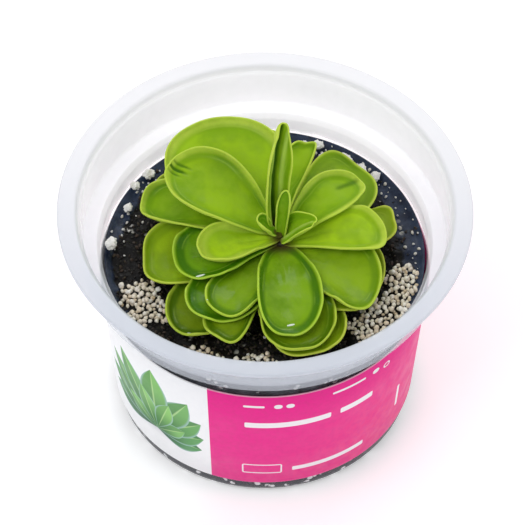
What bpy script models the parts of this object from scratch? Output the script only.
"""Potted butterwort: a rosette of fleshy leaves in wet peat, in a clear plastic cup with a paper sleeve.

The cup stands on z = 0 with its axis on z. The front of the sleeve faces -Y. Metres, +Z up.
"""

import math
import random

import bmesh
import bpy
from mathutils import Matrix, Vector, noise
from mathutils.bvhtree import BVHTree

MM = 0.001
SEED = 7
NAME = "potted_butterwort"

# Cup: a flat rim flange, a wide upper wall, a ledge, then a tapered body.
CUP_HEIGHT = 76.0 * MM
RIM_RADIUS = 57.5 * MM
FLANGE_THICKNESS = 1.2 * MM
UPPER_WALL_RADIUS = 51.0 * MM
LEDGE_Z = 61.8 * MM
BODY_TOP_RADIUS = 46.6 * MM
BODY_LOW_RADIUS = 42.6 * MM
BODY_LOW_Z = 5.0 * MM
BASE_RADIUS = 39.4 * MM
CUP_WALL = 0.9 * MM
BASE_GROOVE = (27.0 * MM, 30.0 * MM, 0.5 * MM)
ROUND_STEPS = 48

# Paper sleeve on the body, open at a narrow butt seam at the back.
SLEEVE_TOP = 51.1 * MM
SLEEVE_BOTTOM = 5.8 * MM
SLEEVE_THICKNESS = 0.4 * MM
SLEEVE_GAP = 0.2 * MM
SEAM_WIDTH = 0.6 * MM

# Pieces that rest on each other lie this far apart.
SEAT_GAP = 0.3 * MM

# Soil: a plug of wet peat with a lumpy top and a raised wet edge at the wall.
SOIL_LEVEL = 55.0 * MM
SOIL_LUMP = 0.8 * MM
SOIL_LUMP_SIZE = 7.0 * MM
SOIL_EDGE_RISE = 0.8 * MM
SOIL_EDGE_WIDTH = 3.5 * MM
SOIL_RINGS = 15

# Crown: the short stem that the leaves grow from, with a root stub in a hole in the soil.
CROWN_X = 4.2 * MM
CROWN_Y = -2.2 * MM
CROWN_LOW_RADIUS = 3.2 * MM
CROWN_LOW_Z = 57.0 * MM
CROWN_TOP_RADIUS = 1.2 * MM
CROWN_TOP = 64.0 * MM
ROOT_RADIUS = 2.4 * MM
ROOT_BOTTOM = 49.0 * MM
HOLE_RADIUS = CROWN_LOW_RADIUS + 0.5 * MM

# Leaf blades: a grid with this many squares across and along, and this thick.
BLADE_GRID = (8, 8)
YOUNG_GRID = (6, 6)
BLADE_THICKNESS = 0.75 * MM
LEAF_START_GAP = 0.35 * MM

# How far apart the probes stand that keep leaves clear of each other, and how steeply a blade bends.
PROBE_STEP = 0.5 * MM
PROBE_GAP = 0.36 * MM
BEND_SLOPE = 0.22

# Each leaf, from the lowest to the topmost. Sizes are in millimetres and angles in degrees:
# direction (0 is +X, 90 is +Y), length, width, base height, rise at the base, how much the rise
# falls off to the tip, roll, cupping, sideways sweep, narrowing at the base, bluntness of the tip.
LEAVES = {
    "leaf_01": (144.0, 39.0, 17.0, 57.0, 10.0, 8.0, 0.0, 0.15, 0.00, 0.50, 0.04),
    "leaf_02": (220.5, 36.6, 24.9, 57.6, 6.4, 10.4, 5.0, 0.25, 0.06, 0.75, 0.01),
    "leaf_03": (233.4, 33.8, 15.5, 57.6, 10.1, 3.9, 2.7, 0.20, 0.19, 0.70, 0.18),
    "leaf_04": (182.0, 35.0, 25.0, 57.6, 9.0, 14.0, 0.0, 0.22, 0.05, 0.50, 0.12),
    "leaf_05": (287.0, 34.9, 24.0, 57.4, 7.7, 3.0, -2.2, 0.26, -0.05, 0.78, 0.16),
    "leaf_06": (338.0, 27.7, 30.9, 57.6, 7.6, 11.1, 6.7, 0.14, -0.12, 0.49, 0.05),
    "leaf_07": (8.2, 30.5, 14.9, 58.4, 11.0, 7.6, -2.2, 0.00, 0.17, 0.52, 0.18),
    "leaf_08": (44.0, 34.3, 24.5, 59.0, 13.0, 18.4, -4.8, 0.00, 0.22, 0.56, 0.19),
    "leaf_09": (97.0, 34.0, 13.0, 59.5, 32.0, 22.0, 0.0, 0.20, 0.00, 0.50, 0.04),
    "leaf_10": (283.2, 35.2, 24.5, 59.2, 4.5, 14.0, -4.8, 0.23, -0.08, 0.60, 0.05),
    "leaf_11": (230.6, 31.9, 24.6, 59.2, 6.5, 9.8, 1.1, 0.21, -0.02, 0.49, -0.02),
    "leaf_12": (233.8, 29.2, 18.1, 60.6, 8.6, 15.0, 2.4, 0.27, 0.07, 0.57, 0.05),
    "leaf_13": (190.0, 27.7, 23.6, 60.0, 4.5, 21.8, -11.4, 0.10, 0.06, 0.77, 0.04),
    "leaf_14": (157.3, 39.5, 16.5, 61.2, 15.6, 26.0, -19.0, 0.22, 0.01, 0.78, 0.09),
    "leaf_15": (339.1, 29.5, 26.5, 61.4, 12.4, 19.7, 2.0, 0.23, -0.25, 0.78, 0.04),
    "leaf_16": (278.4, 32.2, 20.8, 62.9, 16.0, 29.1, -14.0, 0.30, -0.08, 0.35, 0.05),
    "leaf_17": (13.1, 27.5, 18.0, 62.8, 17.0, 29.7, 13.0, 0.20, -0.17, 0.78, 0.07),
    "leaf_18": (44.3, 29.0, 16.4, 63.4, 27.0, 41.0, 10.0, 0.20, -0.05, 0.78, -0.02),
    "leaf_19": (122.5, 41.3, 38.6, 60.8, 30.0, 20.0, -3.5, 0.20, 0.10, 0.76, -0.01),
    "leaf_20": (91.1, 28.7, 9.0, 62.6, 41.6, 33.3, 10.0, 0.27, -0.27, 0.78, 0.22),
    "leaf_21": (192.1, 22.0, 14.6, 64.4, 22.1, 35.7, -16.0, 0.32, 0.03, 0.78, 0.06),
    "leaf_22": (149.5, 35.0, 24.2, 63.8, 26.0, 44.0, -8.9, 0.30, 0.01, 0.78, -0.04),
}

# The four youngest leaves stand upright on the crown: a start radius, then the same columns.
YOUNG_LEAVES = {
    "leaf_23": (3.2, 109.0, 29.9, 8.6, 67.5, 66.5, 3.0, 9.0, 0.95, -0.23, 0.45, -0.10),
    "leaf_24": (0.4, 75.0, 15.0, 4.0, 65.4, 72.0, 10.0, 0.0, 0.60, 0.00, 0.50, 0.00),
    "leaf_25": (2.0, 184.0, 7.8, 6.2, 68.0, 64.0, 18.0, 0.0, 0.45, 0.00, 0.60, 0.05),
    "leaf_26": (1.6, 12.6, 12.4, 7.9, 65.6, 60.0, 24.0, 4.4, 0.60, -0.20, 0.20, -0.10),
}

# Granules: beds of small stones, each bed a chain of round patches (x, y, radius in millimetres).
GRANULE_PITCH = 2.25 * MM
GRANULE_HEIGHT = 1.3 * MM
GRANULE_SHIFT = 0.34 * MM
GRANULE_SEAT = 0.6 * MM
GRANULE_BED = 0.6 * MM
GRANULE_BEDS = {
    "granules_left": ((-34.5, -15.0, 5.2), (-30.5, -20.5, 4.6), (-34.0, -22.0, 3.2)),
    "granules_front": (
        (-17.5, -35.5, 3.6),
        (-12.5, -38.2, 3.0),
        (-7.0, -39.8, 3.0),
        (-1.5, -39.5, 4.2),
        (4.0, -40.5, 2.4),
    ),
    "granules_right": ((38.5, -7.5, 4.6), (39.0, -14.5, 5.0), (34.0, -20.0, 5.6), (28.5, -25.5, 5.0)),
}

# Perlite: light chunks on the soil (x, y, longest width, height, in millimetres).
PERLITE = (
    (22.6, 33.0, 5.4, 3.6),
    (27.4, 30.0, 4.2, 2.8),
    (31.2, 27.4, 3.8, 2.6),
    (15.2, 38.8, 3.8, 2.4),
    (11.2, 39.4, 3.0, 2.2),
    (16.4, 35.0, 2.8, 2.2),
    (-43.0, 1.5, 4.4, 3.4),
    (-33.0, 27.5, 4.0, 2.6),
    (-37.0, 23.0, 3.4, 2.4),
    (-32.6, 22.6, 2.8, 2.2),
    (-38.6, 15.5, 3.2, 2.2),
)


def clear_scene():
    for obj in list(bpy.data.objects):
        bpy.data.objects.remove(obj)


def new_collection(name, is_helper=False):
    collection = bpy.data.collections.new(name)
    bpy.context.scene.collection.children.link(collection)
    collection.hide_render = is_helper
    return collection


def material(name, color, roughness, metallic=0.0):
    made = bpy.data.materials.new(name)
    made.use_nodes = True
    shader = made.node_tree.nodes["Principled BSDF"]
    shader.inputs["Base Color"].default_value = (*color, 1.0)
    shader.inputs["Roughness"].default_value = roughness
    shader.inputs["Metallic"].default_value = metallic
    made.diffuse_color = (*color, 1.0)
    return made


def object_from(bm, name, collection, surface=None):
    """Turns a bmesh into an object with its faces outward."""
    bmesh.ops.recalc_face_normals(bm, faces=bm.faces)
    mesh = bpy.data.meshes.new(name)
    bm.to_mesh(mesh)
    bm.free()
    obj = bpy.data.objects.new(name, mesh)
    collection.objects.link(obj)
    if surface:
        mesh.materials.append(surface)
    return obj


def cutter(bm, name, collection):
    obj = object_from(bm, name, collection)
    obj.hide_render = True
    obj.display_type = "WIRE"
    return obj


def boolean(obj, other, operation):
    modifier = obj.modifiers.new(f"{operation.lower()}_{other.name}", "BOOLEAN")
    modifier.object = other
    modifier.operation = operation
    modifier.solver = "EXACT"


def turned(profile, is_ring, steps=ROUND_STEPS):
    """Spins an outline of (radius, z) points round the z axis."""
    bm = bmesh.new()
    points = [bm.verts.new((radius, 0, z)) for radius, z in profile]
    pairs = list(zip(points, points[1:]))
    if is_ring:
        pairs.append((points[-1], points[0]))
    edges = [bm.edges.new(pair) for pair in pairs]
    bmesh.ops.spin(
        bm,
        geom=points + edges,
        axis=(0, 0, 1),
        cent=(0, 0, 0),
        angle=2 * math.pi,
        steps=steps,
        use_merge=True,
    )
    bmesh.ops.remove_doubles(bm, verts=bm.verts, dist=0.001 * MM)
    return bm


def arc(center, radius, start, end, steps):
    """Points of an arc in the (radius, z) plane, with angles in degrees."""
    angles = [math.radians(start + (end - start) * step / steps) for step in range(steps + 1)]
    return [(center[0] + radius * math.cos(a), center[1] + radius * math.sin(a)) for a in angles]


def body_radius(z):
    """Outside radius of the tapered body at a height."""
    share = (z - BODY_LOW_Z) / (LEDGE_Z - BODY_LOW_Z)
    return BODY_LOW_RADIUS + (BODY_TOP_RADIUS - BODY_LOW_RADIUS) * share


def smooth_step(value, low, high):
    t = min(max((value - low) / (high - low), 0.0), 1.0)
    return t * t * (3 - 2 * t)


def make_cup(collection):
    """One closed wall: up the outside, over the flange, down the inside."""
    groove_in, groove_out, groove_depth = BASE_GROOVE
    fillet = BODY_LOW_RADIUS - BASE_RADIUS
    upper_out = UPPER_WALL_RADIUS + CUP_WALL
    outside = [
        (0, 0),
        (groove_in, 0),
        (groove_in + groove_depth, groove_depth),
        (groove_out - groove_depth, groove_depth),
        (groove_out, 0),
        *arc((BASE_RADIUS, fillet), fillet, -90, 0, 4),
        (body_radius(LEDGE_Z - 1.6 * MM), LEDGE_Z - 1.6 * MM),
        (body_radius(LEDGE_Z) + 0.5 * MM, LEDGE_Z - CUP_WALL),
        (upper_out - 0.6 * MM, LEDGE_Z - CUP_WALL),
        (upper_out, LEDGE_Z),
    ]
    flange_under = CUP_HEIGHT - FLANGE_THICKNESS
    lip_round = FLANGE_THICKNESS / 2
    rim = [
        (upper_out + 0.3 * MM, flange_under - 0.6 * MM),
        (upper_out + 1.2 * MM, flange_under),
        *arc((RIM_RADIUS - lip_round, CUP_HEIGHT - lip_round), lip_round, -90, 90, 4),
    ]
    edge_round = 1.5 * MM
    edge = arc((UPPER_WALL_RADIUS + edge_round, CUP_HEIGHT - edge_round), edge_round, 90, 180, 3)
    inside = [
        (UPPER_WALL_RADIUS - 0.1 * MM, LEDGE_Z + 0.6 * MM),
        (UPPER_WALL_RADIUS - 0.8 * MM, LEDGE_Z),
        (BODY_TOP_RADIUS + 0.2 * MM, LEDGE_Z),
        (BODY_TOP_RADIUS - CUP_WALL, LEDGE_Z - 1.0 * MM),
        *arc((BASE_RADIUS, fillet), fillet - CUP_WALL, 0, -90, 4),
        (0, CUP_WALL),
    ]
    surface = material("clear_plastic", (0.86, 0.87, 0.92), 0.25)
    return object_from(turned(outside + rim + edge + inside, False), "cup", collection, surface)


def make_sleeve(collection, helpers):
    profile = []
    for z, offset in (
        (SLEEVE_BOTTOM, 0),
        (SLEEVE_BOTTOM, SLEEVE_THICKNESS),
        (SLEEVE_TOP, SLEEVE_THICKNESS),
        (SLEEVE_TOP, 0),
    ):
        profile.append((body_radius(z) + SLEEVE_GAP + offset, z))
    surface = material("printed_paper", (0.78, 0.05, 0.30), 0.4)
    sleeve = object_from(turned(profile, True), "label_sleeve", collection, surface)
    bm = bmesh.new()
    bmesh.ops.create_cube(bm, size=1)
    bmesh.ops.scale(bm, vec=(SEAM_WIDTH, 20 * MM, CUP_HEIGHT), verts=bm.verts)
    bmesh.ops.translate(bm, vec=(0.13 * MM, BODY_TOP_RADIUS, CUP_HEIGHT / 2), verts=bm.verts)
    boolean(sleeve, cutter(bm, "seam_cutter", helpers), "DIFFERENCE")
    return sleeve


def soil_inner_radius(z):
    return body_radius(z) - CUP_WALL - SEAT_GAP


def soil_height(x, y):
    """Height of the soil's top: lumps that fade out at the wall, where a wet edge climbs."""
    radius = math.hypot(x, y)
    wall = soil_inner_radius(SOIL_LEVEL)
    lump = noise.noise(Vector((x, y, 0)) / SOIL_LUMP_SIZE)
    lump += 0.5 * noise.noise(Vector((y, x, 0)) * 2.3 / SOIL_LUMP_SIZE)
    inside = 1 - smooth_step(radius, wall - 6 * MM, wall)
    edge = smooth_step(radius, wall - SOIL_EDGE_WIDTH, wall)
    return SOIL_LEVEL + SOIL_LUMP * lump * inside + SOIL_EDGE_RISE * edge * edge


def make_soil(collection, helpers):
    floor_z = CUP_WALL + SEAT_GAP
    fillet = BODY_LOW_RADIUS - BASE_RADIUS
    side = arc((BASE_RADIUS, fillet), fillet - CUP_WALL - SEAT_GAP, -90, 0, 4)
    wall = soil_inner_radius(SOIL_LEVEL)
    rings = [(wall * (SOIL_RINGS - ring) / SOIL_RINGS, SOIL_LEVEL) for ring in range(SOIL_RINGS + 1)]
    bm = turned([(0, floor_z), *side, *rings], False)
    for vert in bm.verts:
        if abs(vert.co.z - SOIL_LEVEL) < 0.01 * MM:
            vert.co.z = soil_height(vert.co.x, vert.co.y)
    soil = object_from(bm, "soil", collection, material("wet_peat", (0.02, 0.016, 0.014), 0.5))
    bm = bmesh.new()
    bmesh.ops.create_cone(
        bm,
        cap_ends=True,
        segments=24,
        radius1=HOLE_RADIUS,
        radius2=HOLE_RADIUS,
        depth=2 * (SOIL_LEVEL - ROOT_BOTTOM) + 1 * MM,
    )
    bmesh.ops.translate(bm, vec=(CROWN_X, CROWN_Y, SOIL_LEVEL), verts=bm.verts)
    boolean(soil, cutter(bm, "root_hole_cutter", helpers), "DIFFERENCE")
    return soil


def in_bed(x, y, patches):
    return any(math.hypot(x - px * MM, y - py * MM) < size * MM for px, py, size in patches)


def make_granules(name, patches, collection, surface):
    """A sheet of six-sided cells on the soil, with each cell raised into a rounded stone."""
    draws = random.Random(f"{SEED}{name}")
    bm = bmesh.new()
    row_height = GRANULE_PITCH * math.sqrt(3) / 2
    reach = soil_inner_radius(SOIL_LEVEL) - 1.6 * MM
    count = int(BODY_TOP_RADIUS / row_height) + 1
    for row in range(-count, count + 1):
        for column in range(-2 * count, 2 * count + 1):
            x = (column + 0.5 * (row % 2)) * GRANULE_PITCH
            y = row * row_height
            if not in_bed(x, y, patches) or math.hypot(x, y) > reach:
                continue
            radius = GRANULE_PITCH / math.sqrt(3)
            cell = bmesh.ops.create_circle(bm, segments=6, radius=radius, cap_ends=True)
            bmesh.ops.translate(bm, vec=(x, y, 0), verts=cell["verts"])
    bmesh.ops.remove_doubles(bm, verts=bm.verts, dist=0.01 * MM)
    for vert in bm.verts:
        shift = Vector((draws.uniform(-1, 1), draws.uniform(-1, 1), 0)) * GRANULE_SHIFT
        vert.co += shift
        vert.co.z = soil_height(vert.co.x, vert.co.y) + GRANULE_SEAT
    cells = list(bm.faces)
    under = bmesh.ops.extrude_face_region(bm, geom=cells)["geom"]
    tops = [item for item in under if isinstance(item, bmesh.types.BMFace)]
    top_points = {vert for face in tops for vert in face.verts}
    bmesh.ops.translate(bm, vec=(0, 0, GRANULE_BED), verts=list(top_points))
    for face in tops:
        height = GRANULE_HEIGHT * draws.uniform(0.7, 1.1)
        bmesh.ops.inset_individual(bm, faces=[face], thickness=0.24 * GRANULE_PITCH, depth=0)
        bmesh.ops.translate(bm, vec=(0, 0, 0.8 * height), verts=list(face.verts))
        bmesh.ops.poke(bm, faces=[face], offset=0.2 * height)
    bmesh.ops.triangulate(bm, faces=bm.faces)
    return object_from(bm, name, collection, surface)


def make_perlite(number, place, pile, collection, surface):
    """A chunk with knobbly sides, lowered until it rests on what lies below."""
    x, y, width, height = (value * MM for value in place)
    bm = bmesh.new()
    bmesh.ops.create_icosphere(bm, subdivisions=2, radius=0.5)
    for vert in bm.verts:
        knob = noise.noise(vert.co * 3.1 + Vector((number, 0, 0)) * 5)
        vert.co *= 1 + 0.35 * knob
        vert.co = Vector((vert.co.x * width, vert.co.y * width * 0.8, vert.co.z * height))
    bmesh.ops.rotate(bm, cent=(0, 0, 0), matrix=Matrix.Rotation(number * 2.4, 3, "Z"), verts=bm.verts)
    bmesh.ops.translate(bm, vec=(x, y, 0), verts=bm.verts)
    lift = max(need for _, need in needed_lift(bm, pile, 0.5 * MM))
    bmesh.ops.translate(bm, vec=(0, 0, lift), verts=bm.verts)
    add_to_pile(pile, bm)
    return object_from(bm, f"perlite_{number:02d}", collection, surface)


def disk_point(u, v):
    """Maps a square's point to the unit disk."""
    return u * math.sqrt(1 - v * v / 2), v * math.sqrt(1 - u * u / 2)


def leaf_point(u, v, start, row):
    """A point of a blade's upper face, from its place in the square grid."""
    azimuth, length, width, base_z, rise, fall, roll, cup, sweep, taper, blunt = row
    length *= MM
    half_width = width * MM / 2
    x, y = disk_point(u, v)
    reach = math.hypot(x, y)
    if y > 0 and reach > 0:
        swell = 1 + blunt * (2 * x * y / reach**2) ** 2 * reach
        x *= swell
        y = min(y * swell, 1.0)
    along = (y + 1) / 2
    rise = math.radians(rise)
    fall = math.radians(fall)
    slope = rise - fall * along
    out = crown_radius(base_z * MM) + LEAF_START_GAP if start is None else start * MM
    out += length / fall * (math.sin(rise) - math.sin(slope))
    up = length / fall * (math.cos(slope) - math.cos(rise))
    across = half_width * x * (1 - taper * (1 - along) ** 2)
    lift = cup * across**2 / half_width
    across += sweep * length * along**2
    direction = math.radians(azimuth)
    ahead = Vector((math.cos(direction), math.sin(direction), 0))
    beside = Vector((-math.sin(direction), math.cos(direction), 0))
    upward = Vector((0, 0, math.cos(slope))) - ahead * math.sin(slope)
    turn = math.radians(roll) * min(1, 2 * along)
    side = beside * math.cos(turn) + upward * math.sin(turn)
    normal = upward * math.cos(turn) - beside * math.sin(turn)
    base = Vector((CROWN_X, CROWN_Y, base_z * MM))
    return base + ahead * out + Vector((0, 0, up)) + side * across + normal * lift


def blade(row, start, grid):
    """A closed blade: a shaped grid of triangles, thickened downward, so both faces are cut alike."""
    bm = bmesh.new()
    bmesh.ops.create_grid(bm, x_segments=grid[0], y_segments=grid[1], size=1)
    for vert in bm.verts:
        vert.co = leaf_point(vert.co.x, vert.co.y, start, row)
    bmesh.ops.triangulate(bm, faces=bm.faces)
    bmesh.ops.recalc_face_normals(bm, faces=bm.faces)
    if sum(face.normal.z for face in bm.faces) < 0:
        bmesh.ops.reverse_faces(bm, faces=bm.faces)
    bmesh.ops.solidify(bm, geom=bm.faces, thickness=BLADE_THICKNESS)
    return bm


def needed_lift(bm, pile, gap):
    """Probes a body and the pile below it, and gives each place with the lift that clears it."""
    body = BVHTree.FromBMesh(bm)
    below = BVHTree.FromPolygons(pile["points"], pile["faces"])
    low = Vector([min(vert.co[axis] for vert in bm.verts) for axis in (0, 1)])
    high = Vector([max(vert.co[axis] for vert in bm.verts) for axis in (0, 1)])
    columns = int((high.x - low.x) / PROBE_STEP) + 2
    rows = int((high.y - low.y) / PROBE_STEP) + 2
    tops = {}
    for column in range(-1, columns + 1):
        for row in range(-1, rows + 1):
            place = Vector((low.x + column * PROBE_STEP, low.y + row * PROBE_STEP, 1))
            hit = below.ray_cast(place, Vector((0, 0, -1)))[0]
            tops[column, row] = hit.z if hit else 0
    needs = []
    for column in range(columns):
        for row in range(rows):
            place = Vector((low.x + column * PROBE_STEP, low.y + row * PROBE_STEP, -1))
            underside = body.ray_cast(place, Vector((0, 0, 1)))[0]
            if underside:
                top = max(tops[column + i, row + j] for i in (-1, 0, 1) for j in (-1, 0, 1))
                needs.append((place.to_2d(), top + gap - underside.z))
    return needs


def bend_clear(bm, pile):
    """Bends a blade upward, gently, where it would touch what lies below it."""
    for _ in range(5):
        needs = [(place, need) for place, need in needed_lift(bm, pile, PROBE_GAP) if need > 0]
        if not needs:
            return
        for vert in bm.verts:
            place = Vector(vert.co[:2])
            vert.co.z += max(0, max(need - BEND_SLOPE * (place - at).length for at, need in needs))


def add_to_pile(pile, bm):
    start = len(pile["points"])
    bm.verts.index_update()
    pile["points"] += [vert.co.copy() for vert in bm.verts]
    pile["faces"] += [[start + vert.index for vert in face.verts] for face in bm.faces]


def evaluated_bmesh(obj):
    """The object's shape with its modifiers, as a bmesh."""
    bpy.context.view_layer.update()
    graph = bpy.context.evaluated_depsgraph_get()
    bm = bmesh.new()
    bm.from_object(obj, graph)
    return bm


def crown_radius(z):
    """Radius of the tapered crown at a height."""
    share = (z - CROWN_LOW_Z) / (CROWN_TOP - CROWN_LOW_Z)
    return CROWN_LOW_RADIUS + (CROWN_TOP_RADIUS - CROWN_LOW_RADIUS) * min(max(share, 0), 1)


def make_crown(collection):
    """A short tapered stem with a rounded top, on a root stub."""
    round_top = arc((0, CROWN_TOP - CROWN_TOP_RADIUS / 2), CROWN_TOP_RADIUS, 0, 90, 3)
    dome = [(radius, CROWN_TOP - (CROWN_TOP - z) / 2) for radius, z in round_top]
    profile = [
        (0, ROOT_BOTTOM),
        (0.6 * ROOT_RADIUS, ROOT_BOTTOM),
        (ROOT_RADIUS, ROOT_BOTTOM + 3 * MM),
        (CROWN_LOW_RADIUS, CROWN_LOW_Z - 1 * MM),
        (CROWN_LOW_RADIUS, CROWN_LOW_Z),
        *[(radius, z) for radius, z in dome[:-1]],
        (0, dome[-1][1]),
    ]
    bm = turned(profile, False, 24)
    bmesh.ops.translate(bm, vec=(CROWN_X, CROWN_Y, 0), verts=bm.verts)
    surface = material("crown_tissue", (0.12, 0.10, 0.03), 0.5)
    return object_from(bm, "crown", collection, surface)


def make_leaf(name, row, start, grid, pile, collection):
    bm = blade(row, start, grid)
    if start is None:
        bend_clear(bm, pile)
    add_to_pile(pile, bm)
    return object_from(bm, name, collection, material(name, (0.24, 0.45, 0.02), 0.35))


def build():
    clear_scene()
    parts = new_collection(NAME)
    helpers = new_collection("cutters", is_helper=True)
    make_cup(parts)
    make_sleeve(parts, helpers)
    soil = make_soil(parts, helpers)
    pile = {"points": [], "faces": []}
    add_to_pile(pile, evaluated_bmesh(soil))
    stone = material("pale_granules", (0.62, 0.52, 0.40), 0.8)
    for name, patches in GRANULE_BEDS.items():
        stones = make_granules(name, patches, parts, stone)
        add_to_pile(pile, evaluated_bmesh(stones))
    white = material("perlite", (0.80, 0.78, 0.74), 0.9)
    for number, place in enumerate(PERLITE, 1):
        make_perlite(number, place, pile, parts, white)
    make_crown(parts)
    for name, row in LEAVES.items():
        make_leaf(name, row, None, BLADE_GRID, pile, parts)
    for name, (start, *row) in YOUNG_LEAVES.items():
        make_leaf(name, row, start, YOUNG_GRID, pile, parts)


build()
